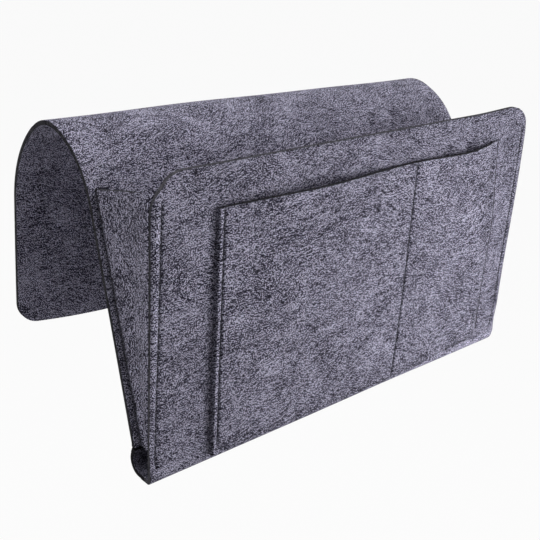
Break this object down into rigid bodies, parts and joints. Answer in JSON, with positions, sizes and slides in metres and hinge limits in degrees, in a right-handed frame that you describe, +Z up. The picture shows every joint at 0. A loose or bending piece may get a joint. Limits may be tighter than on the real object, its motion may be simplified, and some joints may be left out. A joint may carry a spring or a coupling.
{
  "type": "armrest organizer",
  "caption": "Felt organizer that hangs over an armrest: an arched flap behind, a tapered main compartment between gussets, and a divided pocket on the front.",
  "frame": {"origin": "middle of the underside of the flap's ridge, where the armrest carries the organizer", "axes": "+X across the front, to the right as seen from the front; +Y from the front panel towards the armrest and the flap's free end; +Z up"},
  "size_m": [0.33, 0.1676, 0.192],
  "materials": {
    "grey_felt": "pressed melange felt with dark cut edges",
    "dark_thread": "twisted sewing thread"
  },
  "bodies": {
    "back": {"back_panel": "grey_felt", "bottom_fold": "grey_felt", "left_gusset": "grey_felt", "right_gusset": "grey_felt", "back_left_thread": "dark_thread", "back_right_thread": "dark_thread"},
    "front": {"front_panel": "grey_felt", "front_pocket": "grey_felt", "front_left_thread": "dark_thread", "front_right_thread": "dark_thread", "pocket_left_edge_thread": "dark_thread", "pocket_right_edge_thread": "dark_thread", "pocket_divider_thread": "dark_thread", "pocket_bottom_thread": "dark_thread", "pocket_left_base_thread": "dark_thread", "pocket_right_base_thread": "dark_thread"},
    "saddle": {"flap_saddle": "grey_felt"},
    "drop": {"flap_drop": "grey_felt"}
  },
  "joints": [
    {"name": "flap_lift", "type": "hinge", "parent": "back", "child": "saddle", "pos_m": [0, -0.00968, 0.00134], "axis": [1, 0, 0], "range_deg": [-25, 75], "stiffness_Nm_per_rad": 0.2, "springref_deg": 6.73},
    {"name": "drop_swing", "type": "hinge", "parent": "saddle", "child": "drop", "pos_m": [0, 0.04624, -0.05625], "axis": [1, 0, 0], "range_deg": [-30, 50], "stiffness_Nm_per_rad": 0.1, "springref_deg": 0.17},
    {"name": "mouth_close", "type": "hinge", "parent": "back", "child": "front", "pos_m": [0, -0.10114, -0.21518], "axis": [-1, 0, 0], "range_deg": [0, 12], "stiffness_Nm_per_rad": 0.3, "deforming": ["left_gusset", "right_gusset", "bottom_fold"]}
  ]
}
